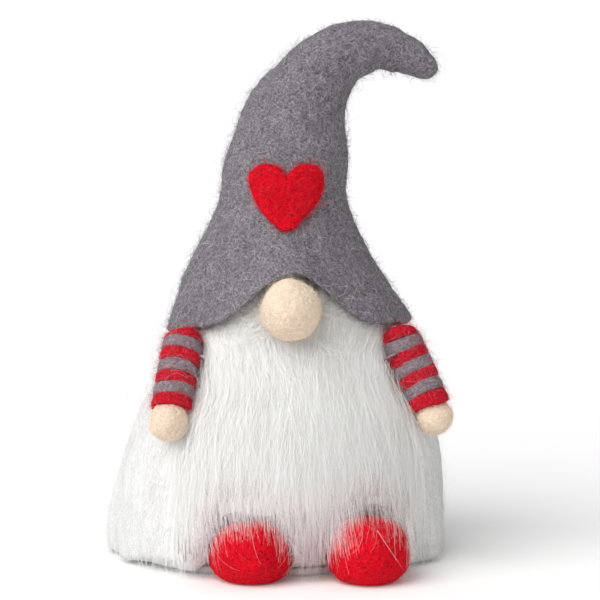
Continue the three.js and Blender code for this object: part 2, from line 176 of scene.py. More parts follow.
def make_object(name, points, faces, uv=None):
    """A smooth-shaded mesh object from points in millimetres and equal-sided faces."""
    mesh = bpy.data.meshes.new(name)
    mesh.vertices.add(len(points))
    mesh.vertices.foreach_set("co", (np.asarray(points) * MM).astype(np.float32).ravel())
    mesh.loops.add(faces.size)
    mesh.loops.foreach_set("vertex_index", faces.astype(np.int32).ravel())
    mesh.polygons.add(len(faces))
    starts = np.arange(0, faces.size, faces.shape[1], dtype=np.int32)
    mesh.polygons.foreach_set("loop_start", starts)
    mesh.polygons.foreach_set("use_smooth", np.ones(len(faces), bool))
    mesh.update(calc_edges=True)
    if uv is not None:
        layer = mesh.uv_layers.new(name="OFBake")
        layer.uv.foreach_set("vector", uv[faces.ravel()].astype(np.float32).ravel())
    obj = bpy.data.objects.new(name, mesh)
    bpy.context.scene.collection.objects.link(obj)
    return obj


def grid_faces(rows, columns):
    """Quads of a grid of points whose last column joins its first."""
    row, column = np.meshgrid(np.arange(rows - 1), np.arange(columns), indexing="ij")
    a = row * columns + column
    b = row * columns + (column + 1) % columns
    return np.stack([a, b, b + columns, a + columns], axis=-1).reshape(-1, 4)


def surface(name, grid):
    """An object from a (rows, columns, 3) grid of points; rows that are one point are welded."""
    obj = make_object(name, grid.reshape(-1, 3), grid_faces(*grid.shape[:2]))
    work = bmesh.new()
    work.from_mesh(obj.data)
    bmesh.ops.remove_doubles(work, verts=work.verts, dist=1e-6)
    bmesh.ops.recalc_face_normals(work, faces=work.faces)
    work.to_mesh(obj.data)
    work.free()
    return obj


def points_of(obj):
    co = np.empty(len(obj.data.vertices) * 3, np.float32)
    obj.data.vertices.foreach_get("co", co)
    return co.reshape(-1, 3).astype(float) / MM


def normals_of(obj):
    normals = np.empty(len(obj.data.vertices) * 3, np.float32)
    obj.data.vertex_normals.foreach_get("vector", normals)
    return normals.reshape(-1, 3).astype(float)


def roughen(obj, height):
    """Moves each vertex along its normal by height(points), in millimetres."""
    points = points_of(obj)
    moved = points + normals_of(obj) * height(points)[:, None]
    obj.data.vertices.foreach_set("co", (moved * MM).astype(np.float32).ravel())
    obj.data.update()
    return obj


def strands(name, paths, facing, width, shade, tone):
    """Flat fibres along paths (fibres, points, 3), facing a way, as one mesh. shade (fibres) and
    tone (fibres, points), both from 0 to 1, are kept in the map that the material reads."""
    count, steps = paths.shape[:2]
    along = np.gradient(paths, axis=1)
    side = unit(np.cross(along, facing))
    taper = np.linspace(1, 0.25, steps)[None, :, None]
    half = 0.5 * np.asarray(width).reshape(-1, 1, 1) * taper * side
    points = np.stack([paths - half, paths + half], axis=2).reshape(-1, 3)
    base = np.arange(count)[:, None] * 2 * steps + 2 * np.arange(steps - 1)[None, :]
    faces = np.stack([base, base + 1, base + 3, base + 2], axis=-1).reshape(-1, 4)
    column = 0.02 + 0.9 * shade[:, None, None] + np.array([0, 0.02])[None, None, :]
    row = 0.02 + 0.96 * tone[:, :, None]
    uv = np.stack(np.broadcast_arrays(column, row), axis=-1).reshape(-1, 2)
    return make_object(name, points, faces, uv)


def sample_surface(obj, count, rng, keep=None):
    """Random points on an object's surface, with their normals."""
    mesh = obj.data
    mesh.calc_loop_triangles()
    corners = np.empty(len(mesh.loop_triangles) * 3, np.int32)
    mesh.loop_triangles.foreach_get("vertices", corners)
    corners = corners.reshape(-1, 3)
    points, normals = points_of(obj), normals_of(obj)
    a, b, c = (points[corners[:, k]] for k in range(3))
    area = np.linalg.norm(np.cross(b - a, c - a), axis=1)
    if keep is not None:
        area = area * keep((a + b + c) / 3)
    chosen = rng.choice(len(corners), count, p=area / area.sum())
    u, v = rng.random(count), rng.random(count)
    u, v = np.where(u + v > 1, 1 - u, u), np.where(u + v > 1, 1 - v, v)
    weights = np.stack([1 - u - v, u, v], axis=1)[:, :, None]
    picked = corners[chosen]
    return (points[picked] * weights).sum(1), unit((normals[picked] * weights).sum(1))


def fuzz(name, obj, count, length, lift, width, seed, keep=None, run=None, steps=5, stray=0.03):
    """Fine curved fibres that lie over a felt surface, a few of them long and standing off it.
    run(normals) gives the direction that they mostly run in, if they have one."""
    rng = np.random.default_rng(seed)
    start, normal = sample_surface(obj, count, rng, keep)
    heading = unit(np.cross(normal, rng.normal(size=(count, 3))))
    if run is not None:
        heading = unit(run(normal) + 0.35 * heading)
    across = np.cross(normal, heading)
    size = length * rng.lognormal(0, 0.35, count)
    rise = lift * rng.exponential(1, count)
    wild = rng.random(count) < stray
    size = np.where(wild, 1.8 * size, size)
    rise = np.where(wild, rise + 2.0 * lift, rise)
    curl = rng.normal(0, 1, count) * np.where(wild, 2.4, 1.3)
    t = np.linspace(0, 1, steps)[None, :]
    turn = curl[:, None] * t
    forward = size[:, None] * t * np.cos(turn)
    sideways = size[:, None] * t * np.sin(turn)
    up = rise[:, None] * np.sin(math.pi * (0.15 + 0.6 * t)) * t**0.6 - 0.1
    paths = start[:, None, :] + (
        forward[..., None] * heading[:, None, :]
        + sideways[..., None] * across[:, None, :]
        + up[..., None] * normal[:, None, :]
    )
    paths[..., 2] = np.maximum(paths[..., 2], 0.2)
    facing = unit(normal + 0.5 * rng.normal(size=(count, 3)))[:, None, :]
    shade = rng.random(count)
    tone = np.broadcast_to(t, (count, steps))
    return strands(name, paths, facing, width * rng.uniform(0.7, 1.3, count), shade, tone)


# ---------------------------------------------------------------- materials


def new_material(name, roughness=0.95, specular=0.15):
    material = bpy.data.materials.new(name)
    material.use_nodes = True
    shader = material.node_tree.nodes["Principled BSDF"]
    shader.inputs["Roughness"].default_value = roughness
    shader.inputs["Specular IOR Level"].default_value = specular
    return material, material.node_tree, shader


def linear(colour):
    """Scene-linear RGBA of an sRGB colour given from 0 to 255."""
    part = np.asarray(colour, float) / 255
    value = np.where(part <= 0.04045, part / 12.92, ((part + 0.055) / 1.055) ** 2.4)
    return (*value.tolist(), 1.0)


def add_node(tree, kind, **settings):
    node = tree.nodes.new(kind)
    for key, value in settings.items():
        if key in node.inputs:
            node.inputs[key].default_value = value
        else:
            setattr(node, key, value)
    return node


def texture(tree, kind, vector, **settings):
    node = add_node(tree, kind, **settings)
    tree.links.new(vector, node.inputs["Vector"])
    return node


def ramp(tree, value, stops):
    """A colour ramp; stops are (place, colour)."""
    node = add_node(tree, "ShaderNodeValToRGB")
    elements = node.color_ramp.elements
    while len(elements) < len(stops):
        elements.new(0.5)
    for element, (place, colour) in zip(elements, stops):
        element.position = place
        element.color = colour
    tree.links.new(value, node.inputs["Fac"])
    return node.outputs["Color"]


def grey(value):
    return (value, value, value, 1.0)


def mix(tree, kind, factor, a, b):
    """Colours a and b mixed; factor is a number or a socket."""
    node = add_node(tree, "ShaderNodeMix", data_type="RGBA", blend_type=kind)
    for socket, value in zip((node.inputs[0], node.inputs[6], node.inputs[7]), (factor, a, b)):
        if isinstance(value, bpy.types.NodeSocket):
            tree.links.new(value, socket)
        else:
            socket.default_value = value
    return node.outputs[2]


def math_node(tree, operation, a, b):
    node = add_node(tree, "ShaderNodeMath", operation=operation)
    for socket, value in zip(node.inputs, (a, b)):
        if isinstance(value, bpy.types.NodeSocket):
            tree.links.new(value, socket)
        else:
            socket.default_value = value
    return node.outputs[0]


def winding_lines(tree, value, strength):
    """Up to strength along thin winding lines, where a noise crosses evenly spaced levels."""
    level = math_node(tree, "FRACT", math_node(tree, "MULTIPLY", value, 9.0), 0.0)
    return ramp(tree, level, [(0.38, grey(0)), (0.5, grey(strength)), (0.62, grey(0))])


def felt_material(name, dark, mid, light, pit_scale=420, pit_strength=0.5, stretch=None):
    """Needle-felted wool: tangled fibres, painted shade in the needle pits and along thin gaps between
    fibres, and slow random changes of tone.
    """
    material, tree, shader = new_material(name)
    place = add_node(tree, "ShaderNodeTexCoord").outputs["Object"]
    if stretch is not None:
        mapping = add_node(tree, "ShaderNodeMapping", Scale=stretch)
        tree.links.new(place, mapping.inputs["Vector"])
        place = mapping.outputs["Vector"]
    tangle = texture(
        tree, "ShaderNodeTexNoise", place, Scale=520, Detail=3, Roughness=0.5, Distortion=2.6,
    ).outputs["Fac"]
    fine = texture(tree, "ShaderNodeTexNoise", place, Scale=1900, Detail=1, Distortion=1.6).outputs["Fac"]
    curls = texture(tree, "ShaderNodeTexNoise", place, Scale=210, Detail=2, Distortion=1.4).outputs["Fac"]
    gap_shade_lines = texture(tree, "ShaderNodeTexNoise", place, Scale=290, Detail=2, Distortion=1.0).outputs["Fac"]
    slow = texture(tree, "ShaderNodeTexNoise", place, Scale=70, Detail=3).outputs["Fac"]
    holes = texture(
        tree, "ShaderNodeTexVoronoi", place, feature="SMOOTH_F1", Scale=pit_scale, Smoothness=0.4,
    ).outputs["Distance"]
    patchy = texture(tree, "ShaderNodeTexNoise", place, Scale=160, Detail=2).outputs["Fac"]
    hole = math_node(tree, "ADD", holes, math_node(tree, "MULTIPLY", patchy, 0.35))
    wool = ramp(tree, tangle, [(0.3, linear(dark)), (0.5, linear(mid)), (0.72, linear(light))])
    wool = mix(tree, "OVERLAY", 0.25, wool, ramp(tree, fine, [(0.3, grey(0.3)), (0.7, grey(0.7))]))
    wool = mix(tree, "MIX", winding_lines(tree, curls, 0.6), wool, linear(light))
    # Painted shade along thin gaps between the fibres.
    wool = mix(tree, "MULTIPLY", winding_lines(tree, gap_shade_lines, 0.6), wool, grey(1 - pit_strength))
    wool = mix(tree, "MULTIPLY", 0.35, wool, ramp(tree, slow, [(0.38, grey(0.78)), (0.62, grey(1))]))
    # Painted shade in the needle pits.
    hole_shade = ramp(tree, hole, [(0.22, grey(1 - pit_strength)), (0.5, grey(1))])
    wool = mix(tree, "MULTIPLY", 1.0, wool, hole_shade)
    tree.links.new(wool, shader.inputs["Base Color"])
    height = math_node(tree, "ADD", math_node(tree, "MULTIPLY", tangle, 0.6), hole)
    height = math_node(tree, "ADD", height, math_node(tree, "MULTIPLY", fine, 0.3))
    bump = add_node(tree, "ShaderNodeBump", Strength=0.8, Distance=0.0006)
    tree.links.new(height, bump.inputs["Height"])
    tree.links.new(bump.outputs["Normal"], shader.inputs["Normal"])
    return material


def strand_material(name, shades, tones=None, roughness=0.75, specular=0.25):
    """Loose fibres: shades spread over the fibres, tones multiplied along their map's height; the beard's
    tones are painted shade and a painted red reflection.
    """
    material, tree, shader = new_material(name, roughness, specular)
    uv = add_node(tree, "ShaderNodeUVMap", uv_map="OFBake").outputs["UV"]
    split = add_node(tree, "ShaderNodeSeparateXYZ")
    tree.links.new(uv, split.inputs[0])
    stops = [(i / (len(shades) - 1), linear(shade)) for i, shade in enumerate(shades)]
    colour = ramp(tree, split.outputs["X"], stops)
    if tones:
        along = ramp(tree, split.outputs["Y"], [(place, linear(tone)) for place, tone in tones])
        colour = mix(tree, "MULTIPLY", 1.0, colour, along)
    tree.links.new(colour, shader.inputs["Base Color"])
    return material


def plain_material(name, colour, other, scale, roughness, metallic=0.0):
    """Hidden inner pieces: two close shades mixed by noise, with a light bump."""
    material, tree, shader = new_material(name, roughness, 0.3)
    shader.inputs["Metallic"].default_value = metallic
    place = add_node(tree, "ShaderNodeTexCoord").outputs["Object"]
    grain = texture(tree, "ShaderNodeTexNoise", place, Scale=scale, Detail=4).outputs["Fac"]
    tint = ramp(tree, grain, [(0.3, linear(colour)), (0.7, linear(other))])
    tree.links.new(tint, shader.inputs["Base Color"])
    bump = add_node(tree, "ShaderNodeBump", Strength=0.4, Distance=0.0003)
    tree.links.new(grain, bump.inputs["Height"])
    tree.links.new(bump.outputs["Normal"], shader.inputs["Normal"])
    return material


grey_felt = felt_material("grey_felt", (80, 76, 82), (122, 117, 123), (166, 161, 167), pit_strength=0.45)
white_felt = felt_material(
    "white_felt", (200, 200, 199), (221, 221, 220), (238, 238, 237),
    pit_scale=200, pit_strength=0.05, stretch=(1.5, 1.5, 0.5),
)
red_felt = felt_material("red_felt", (168, 0, 12), (220, 0, 28), (236, 10, 42), pit_strength=0.42)
skin_felt = felt_material("skin_felt", (220, 194, 168), (236, 216, 192), (246, 232, 214), pit_strength=0.14)
red_roving = felt_material(
    "red_roving", (150, 4, 24), (196, 18, 42), (220, 52, 68), pit_scale=300, pit_strength=0.3,
)
grey_roving = felt_material(
    "grey_roving", (102, 90, 97), (142, 126, 133), (180, 166, 172), pit_scale=300, pit_strength=0.3,
)

GREY_SHADES = [(84, 79, 86), (136, 131, 137), (192, 188, 193), (110, 105, 111), (164, 159, 164)]
grey_fuzz = strand_material("grey_fuzz", GREY_SHADES)
white_fuzz = strand_material("white_fuzz", [(226, 226, 224), (248, 248, 247)])
red_fuzz = strand_material("red_fuzz", [(164, 0, 20), (216, 6, 34), (238, 62, 78)])
skin_fuzz = strand_material("skin_fuzz", [(236, 214, 190), (255, 246, 232)])
# Painted shade along the beard's height: mauve low down, a painted shadow with a painted red reflection of
# the feet, and greyer at the top, painted shade under the brim.
BEARD_PAINTED_SHADE_TONES = [
    (0.0, (200, 174, 182)), (0.08, (222, 202, 208)), (0.18, (242, 231, 234)),
    (0.3, (254, 250, 250)), (0.4, (255, 255, 255)), (0.8, (255, 255, 255)),
    (0.92, (240, 239, 236)), (1.0, (226, 225, 221)),
]
# Painted shadow on the under-wool by height, darkest just above the feet, with a painted red reflection,
# and a little grey at the top.
UNDER_WOOL_PAINTED_SHADE_TONES = [
    (0.0, (176, 160, 166)), (0.12, (164, 146, 153)), (0.2, (124, 102, 111)),
    (0.27, (132, 111, 119)), (0.4, (214, 203, 207)), (0.52, (255, 255, 255)), (1.0, (240, 240, 238)),
]
# Fibre colours from dark to light. The beard's fibres take darker ones the deeper they lie, painted shade
# among the fibres.
BEARD_SHADES = [(224, 223, 220), (243, 243, 240), (253, 253, 251), (255, 255, 255)]
beard_material = strand_material("beard_fibre", BEARD_SHADES, BEARD_PAINTED_SHADE_TONES, roughness=0.5, specular=0.4)
under_beard_material = strand_material("beard_under", BEARD_SHADES, UNDER_WOOL_PAINTED_SHADE_TONES, roughness=0.8)

stuffing = plain_material("stuffing", (214, 206, 192), (238, 232, 222), 180, 0.95)
cotton = plain_material("cotton", (200, 194, 182), (222, 216, 206), 900, 0.9)
grit = plain_material("grit", (112, 102, 92), (166, 156, 146), 700, 0.85)
wire = plain_material("wire", (170, 172, 176), (196, 198, 200), 400, 0.35, metallic=0.9)


def finish_piece(obj, material, body, replaces=()):
    """Paints a piece, sets it on its body and hides the CAD nodes that it stands for."""
    obj.data.materials.clear()
    obj.data.materials.append(material)
    if body is not None:
        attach(obj, body)
    if replaces:
        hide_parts(*replaces)
    return obj


# ---------------------------------------------------------------- the robe's and the hat's shapes

robe_line = spline(ROBE_OUTLINE, np.linspace(0, len(ROBE_OUTLINE) - 1, 300))


def robe_radius(z):
    return np.interp(z, robe_line[::-1, 1], robe_line[::-1, 0])


def on_robe(angle, radius, z):
    """Points at a radius from the robe's leaning axis."""
    x = radius * np.sin(angle) + ROBE_LEAN * z
    return np.stack(np.broadcast_arrays(x, -DEPTH * radius * np.cos(angle), z), axis=-1)


hat_line = [(x, z, radius) for x, z, radius in HAT_STATIONS]


def hat_radius(station):
    return spline(hat_line, station)[..., 2]


def arch_rise(angle):
    """How far the brim is lifted over the nose."""
    return HAT_ARCH * (0.58 * np.exp(-((angle / 0.38) ** 2)) + 0.42 * np.exp(-((angle / 0.79) ** 2)))


def on_hat(angle, station, radius):
    """Points at a radius from the hat's centre line, with the brim's arch."""
    angle, station, radius = np.broadcast_arrays(angle, station, radius)
    x, y = radius * np.sin(angle), -radius * np.cos(angle)
    centre = spline(hat_line, station)
    step = 0.02
    tangent = spline(hat_line, station + step)[..., :2] - spline(hat_line, station - step)[..., :2]
    square = unit(np.stack([tangent[..., 1], -tangent[..., 0]], axis=-1))
    turn = smoothstep(station, 3, 6)[..., None]
    across = unit(np.array([1.0, 0.0]) * (1 - turn) + square * turn)
    flat = DEPTH + (1 - DEPTH) * np.minimum(station / 4, 1)
    z = centre[..., 1] + across[..., 1] * x
    point = np.stack([centre[..., 0] + across[..., 0] * x, flat * y, z], axis=-1)
    fade = np.clip((HAT_ARCH_TOP - z) / (HAT_ARCH_TOP - HAT_RIM_Z), 0, None) ** 1.4
    point[..., 2] = z + (arch_rise(angle - FACE_TURN) + HAT_RIM_TILT * x) * fade
    return point


# ---------------------------------------------------------------- feet

FOOT_PROFILE = [
    (0.0, 0.0), (0.5, 0.0), (0.72, 0.03), (0.93, 0.2), (1.0, 0.44), (0.9, 0.74), (0.58, 0.95), (0.0, 1.0),
]  # radius and height, as shares of the foot's own


def box_of(node):
    """Centre and half size of a CAD node, in millimetres."""
    low, high = (np.array(corner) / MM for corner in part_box(node))
    return (low + high) / 2, (high - low) / 2


def make_foot(node):
    centre, half = box_of(node)
    profile = spline(FOOT_PROFILE, np.linspace(0, len(FOOT_PROFILE) - 1, 70))
    radius, height = np.maximum(profile[:, 0], 0)[:, None], np.clip(profile[:, 1], 0, None)[:, None]
    around = np.linspace(0, 2 * math.pi, 150, endpoint=False)[None, :]
    grid = np.stack(np.broadcast_arrays(
        centre[0] + half[0] * radius * np.sin(around),
        centre[1] + half[1] * radius * np.cos(around),
        2 * half[2] * height + 0 * around,
    ), axis=-1)
    foot = surface(f"{node}_felt", grid)

    def height_of(points):
        sole = smoothstep(points[:, 2], 0.2, 3)
        dents = 0.45 * pits(points, 2.1, 0.9, seed=5)
        return sole * (0.9 * lumps(points, 3) + 0.8 * noise(points, 14, 8) - dents)

    roughen(foot, height_of)
    return finish_piece(foot, red_felt, "figure", (node,))


feet = [make_foot("foot_left"), make_foot("foot_right")]
foot_boxes = [box_of("foot_left"), box_of("foot_right")]
foot_angles = [math.atan2(centre[0], -centre[1]) for centre, _ in foot_boxes]
FOOT_TOP = 20  # height, near the tops of the feet, at which the beard's width is measured over them

# ---------------------------------------------------------------- robe


def hem_lift(angle):
    """How far the hem is raised over the two feet, and a little between them."""
    bumps = [np.exp(-(((angle - foot) / 0.265) ** 4)) for foot in foot_angles]
    between = HEM_BETWEEN_FEET * np.exp(-(((angle - np.mean(foot_angles)) / 0.35) ** 4))
    return np.maximum(HEM_OVER_FEET * np.minimum(sum(bumps), 1), between)


def make_robe():
    outside = np.vstack([robe_line, ROBE_HEM])
    hole = 6  # radius of the small opening at the top, hidden in the hat
    inner_z = np.linspace(2.5, 96, 26)
    inside = np.stack([robe_radius(inner_z + 2) - FELT, inner_z], axis=1)
    inside[:, 0] = np.minimum(inside[:, 0], 60.2)
    reach = np.concatenate([[0], np.cumsum(np.linalg.norm(np.diff(outside, axis=0), axis=1))])
    even = np.linspace(0, reach[-1], 170)
    outside = np.stack([np.interp(even, reach, outside[:, k]) for k in (0, 1)], axis=1)
    profile = np.vstack([[(hole, ROBE_TOP)], outside, inside[inside[:, 0] > hole], [(hole, ROBE_TOP - 1)]])
    radius, z = profile[:, 0][:, None], profile[:, 1][:, None]
    angle = np.linspace(-math.pi, math.pi, 400, endpoint=False)[None, :]
    z = z + hem_lift(angle) * np.clip((HEM_FADE - z) / HEM_FADE, 0, 1)
    rounded = HEM_TUCK * np.exp(-(((angle + 0.68) / 0.42) ** 4)) * smoothstep(radius, 60.5, 68)
    z = z + rounded * np.clip((30 - z) / 30, 0, 1)
    wave = np.clip((40 - z) / 40, 0, 1) ** 1.5
    ripple = 1.1 * np.sin(7 * angle + 0.8) + 1.0 * np.sin(11 * angle + 2.1) + 0.7 * np.sin(19 * angle)
    scallops = 0.7 * (1 + np.sin(15 * angle) * np.sin(6 * angle))
    z = z + scallops * np.exp(-z / 4) * smoothstep(radius, 60.5, 68)
    flare = 1.6 * np.exp(-(((angle - 1.45) / 0.4) ** 2))
    grid = on_robe(angle, radius + wave * (ripple + flare), z)
    robe = surface("robe_felt", grid)

    def height_of(points):
        streaks = noise(points * [1, 1, 0.22], 3.2, 21)
        lower = smoothstep(points[:, 2], 0.5, 3)
        return lower * (0.6 * lumps(points, 11) + 0.35 * streaks + 0.9 * noise(points, 22, 13))

    roughen(robe, height_of)
    return finish_piece(robe, white_felt, "figure", ("robe",))


robe = make_robe()

# ---------------------------------------------------------------- hat and heart


def make_hat():
    """Crown and tip in one skin, with a soft rolled brim and the wall inside it."""
    rim_station = 0.1
    outer = LAST_STATION - np.linspace(0, 1, 200) * (LAST_STATION - rim_station)
    blunt = np.sqrt(np.clip(1 - np.clip((outer - LAST_STATION + 0.9) / 0.9, 0, 1) ** 2.4, 0, 1))
    rim = np.linspace(0, math.pi, 11)[1:-1]
    inner = np.linspace(rim_station, 4.4, 40)
    station = np.concatenate([outer, rim_station + 0 * rim, inner])
    wall = FELT + (BRIM - FELT) * np.exp(-4 * inner)
    inset = np.concatenate([0 * outer, BRIM * (1 - np.cos(rim)) / 2, wall])
    drop = np.concatenate([0 * outer, 0.5 * BRIM * np.sin(rim), 0 * inner])[:, None]
    shrink = np.concatenate([blunt, np.ones(len(rim) + len(inner))])
    radius = hat_radius(station) * shrink - inset
    station, radius = np.append(station, 4.4)[:, None], np.append(radius, 0)[:, None]
    angle = np.linspace(-math.pi, math.pi, 330, endpoint=False)[None, :]
    grid = on_hat(angle, station, radius)
    grid[..., 2] -= np.vstack([drop, [[0]]])
    edge = np.exp(-((station / 0.9) ** 2)) * (station < 2)
    grid[..., 2] += edge * (0.5 * np.sin(5 * angle + 1) + 0.4 * np.sin(9 * angle + 0.4))
    hat = surface("hat_felt", grid)

    def height_of(points):
        bumps = 0.9 * lumps(points, 31) + 0.8 * noise(points, 20, 34) + 0.25 * noise(points, 2.6, 35)
        return bumps - 0.5 * pits(points, 2.8, 1.4, 37) - 0.4

    roughen(hat, height_of)
    hat.data.materials.append(grey_felt)
    bend_hat(hat, ("hat", "hat_tip"))
    return hat


def bend_hat(obj, nodes=()):
    """Bakes the piece's placement into its mesh, and hides the CAD nodes that it stands for."""
    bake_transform(obj)
    if nodes:
        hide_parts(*nodes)


hat = make_hat()


def heart_outline(count):
    """Points round a heart that is 2 wide and 2 high, from its blunt lower tip."""
    half = [
        (0, -1), (-0.12, -0.95), (-0.24, -0.84), (-0.45, -0.6), (-0.71, -0.28), (-0.91, 0.05), (-1, 0.42),
        (-0.95, 0.75), (-0.76, 0.96), (-0.5, 1), (-0.24, 0.92), (-0.08, 0.77), (0, 0.66),
    ]
    line = spline(half, np.linspace(0, len(half) - 1, count // 2 + 1))
    other = line[::-1][1:-1] * [-1, 1]
    heart = np.vstack([line, other])
    heart[:, 0] += HEART_SKEW * (1 - heart[:, 1])
    return heart


def hat_station_at(z, angle):
    """The station at which the hat's surface has a height, by halving."""
    low, high = np.zeros_like(z), np.full_like(z, 5.0)
    for _ in range(30):
        middle = (low + high) / 2
        below = on_hat(angle, middle, hat_radius(middle))[..., 2] < z
        low, high = np.where(below, middle, low), np.where(below, high, middle)
    return (low + high) / 2


def on_hat_front(x, z, lift):
    """Points over the front of the hat: x to the side of its middle, height z, lift off it."""
    angle = FACE_TURN + x / HEART_HAT_RADIUS
    station = hat_station_at(z + 0 * x, angle)
    return on_hat(angle, station, hat_radius(station) + lift)


def make_heart():
    outline = heart_outline(220)
    hub = np.array([0, 0.18])
    rounding = np.linspace(0, 1, 12)[1:] * math.pi / 2
    across = np.concatenate([np.linspace(0, 0.9, 34), 1 - 0.1 * np.cos(rounding)])
    front = hub + (outline - hub)[None, :, :] * across[:, None, None]
    dome = HEART_THICKNESS * (1 - across**5) ** 0.4
    back = front[::-1][6:]
    flat = np.vstack([front, back])
    lift = np.concatenate([0.4 + dome, np.full(len(back), -0.6)])[:, None]
    x = flat[..., 0] * HEART_SIZE[0] / 2
    z = HEART_CENTRE_Z + flat[..., 1] * HEART_SIZE[1] / 2
    heart = surface("heart_felt", on_hat_front(x, z, lift + 0 * x))

    def height_of(points):
        return 0.55 * lumps(points, 41) - 0.5 * pits(points, 1.9, 0.9, 43) + 0.35 * noise(points, 7, 44)

    roughen(heart, height_of)
    return finish_piece(heart, red_felt, "figure", ("heart",))


heart = make_heart()

# ---------------------------------------------------------------- nose and hands


def ball(name, centre, half, stretch, seed):
    """A felt ball, a little out of round. stretch moves its points before they are roughened."""
    polar = np.linspace(0, math.pi, 90)[:, None]
    around = np.linspace(0, 2 * math.pi, 170, endpoint=False)[None, :]
    grid = np.stack(np.broadcast_arrays(
        np.sin(polar) * np.cos(around), np.sin(polar) * np.sin(around), np.cos(polar) + 0 * around,
    ), axis=-1)
    obj = surface(name, centre + stretch(grid) * half)

    def height_of(points):
        swells = 0.5 * lumps(points, seed) + 0.5 * noise(points, 8, seed + 4)
        return swells - 0.28 * pits(points, 1.7, 0.8, seed)

    return roughen(obj, height_of)


def make_nose():
    centre, half = box_of("nose")
    nose = ball("nose_felt", centre, 0.97 * half, lambda p: p * [1, 1, 1.02], 51)
    return finish_piece(nose, skin_felt, "figure", ("nose",))


nose = make_nose()

# ---------------------------------------------------------------- arms

ARM_BANDS = 7
ARM_RADIUS = 8.4
ARM_DOME = 10.9  # height of the round shoulder above the arm's pivot
ARM_CROWN = 10.2
CUFF = 3.0  # the last band comes this far down over the hand


def joint_place(name):
    joint = next(j for j in frame["joints"] if j["name"] == name)
    return np.array(joint["pos_m"], float) / MM


def arm_axes(side):
    """The arm's pivot, and its own axes: towards the robe, along its hinge and up."""
    pivot = joint_place(f"arm_{side}_lift")
    hand, half = box_of(f"hand_{side}")
    up = unit(pivot - hand)
    hinge = unit(np.cross([0, 0, 1], up))
    return pivot, np.stack([np.cross(hinge, up), hinge, up]), hand, half


def arm_radius(z):
    """The arm is straight below its pivot, with a full round shoulder above it."""
    rise = np.clip(z, 0, None) / ARM_DOME
    return ARM_RADIUS * np.clip(1 - rise**3.2, 0.01, 1) ** (1 / 3.2)


def make_band(node, pivot, axes, top, bottom, seed):
    """One turn of roving wound round the arm, its fibres running round with it."""
    colour, _, side, _ = node.split("_")
    part = np.linspace(-0.1, 1.1, 24)[:, None]
    z = bottom + (top - bottom) * part
    groove = 1 - np.sin(math.pi * np.clip(part, 0, 1)) ** 0.5
    tuck = 2.2 * smoothstep(np.abs(part - 0.5), 0.52, 0.6)
    angle = np.linspace(0, 2 * math.pi, 160, endpoint=False)[None, :]
    reach = arm_radius(z) - 0.45 * groove - tuck + 0 * angle
    sway = 0.4 * np.sin(angle + seed) + 0.25 * np.sin(2 * angle + 2.3 * seed)
    around = np.stack([8 * np.cos(angle) + 0 * z, 8 * np.sin(angle) + 0 * z, 9 * z + 0 * angle], axis=-1)
    ridges = noise(around.reshape(-1, 3), 4.5, seed).reshape(reach.shape)
    reach = np.maximum(reach + 0.22 * ridges, 0.5)
    local = np.stack(np.broadcast_arrays(reach * np.cos(angle), reach * np.sin(angle), z + sway), axis=-1)
    ends = [local[:1].mean(axis=1, keepdims=True), local[-1:].mean(axis=1, keepdims=True)]
    caps = [np.broadcast_to(end, local[:1].shape) for end in ends]
    band = surface(f"{node}_wool", pivot + np.concatenate([caps[0], local, caps[1]]) @ axes)
    roughen(band, lambda points: 0.5 * lumps(points, seed))
    material = red_roving if colour == "red" else grey_roving
    return finish_piece(band, material, f"arm_{side}", (node,))


def make_arm(side):
    pivot, axes, hand, half = arm_axes(side)
    wrist = half[0] - np.linalg.norm(pivot - hand) - CUFF
    pitch = (ARM_CROWN - wrist) / ARM_BANDS
    bands = []
    for i in range(ARM_BANDS):
        colour = "red" if i % 2 == 0 else "grey"
        top = ARM_CROWN - i * pitch
        node = f"{colour}_band_{side}_{i // 2 + 1}"
        bands.append(make_band(node, pivot, axes, top, top - pitch, 60 + i + 10 * (side == "right")))

    def palm(grid):
        taper = 1 - 0.06 * grid[..., 2:]
        return grid * np.concatenate([taper, taper, np.ones_like(taper)], axis=-1)

    hand_felt = ball(f"hand_{side}_felt", hand, half, palm, 71 + (side == "right"))
    finish_piece(hand_felt, skin_felt, f"arm_{side}", (f"hand_{side}",))
    return bands, hand_felt


arms = {side: make_arm(side) for side in ("left", "right")}

# ---------------------------------------------------------------- beard

BEARD_LEFT = [
    (0, -0.68), (8, -0.7), (32, -0.74), (60, -0.76), (76, -0.78), (90, -0.98), (100, -1.34), (120, -1.4),
]  # height and angle of the beard's edge on the -X side
BEARD_RIGHT = [
    (0, 0.88), (5, 0.88), (40, 0.84), (60, 0.8), (76, 0.79), (90, 0.9), (100, 1.2), (120, 1.25),
]
BEARD_OUTSIDE = [
    (0, 74.2), (12, 74.8), (28, 73.6), (48, 70.8), (64, 66), (77, 58.4), (88, 52), (96, 48.6), (104, 46.4),
    (114, 44), (122, 42),
]  # height and radius of the beard's surface
BEARD_INSIDE = [
    (0, 71.5), (12, 71.8), (28, 70.2), (48, 66.8), (64, 61.2), (77, 51.8), (88, 42), (96, 38), (104, 37),
    (114, 37), (122, 37),
]


BEARD_END = 2.5  # height of the lowest fibre ends, between the feet
BEARD_OVER_FEET = 20  # how much higher the fibres end over a foot
BEARD_THINNING = 62  # the shorter fibres end over this height above the longest ones
BEARD_TUFTS = 52  # fibres draw together towards their ends in this many tufts across the beard
BEARD_LAYERS = 3
BEARD_SHORT = 0.94  # share of the fibres that end higher up, so that the beard thins out downwards


def along(table, z):
    heights, values = np.array(table).T
    return np.interp(z, heights, values)


def beard_angle(u, z):
    left, right = along(BEARD_LEFT, z), along(BEARD_RIGHT, z)
    return left + (right - left) * u


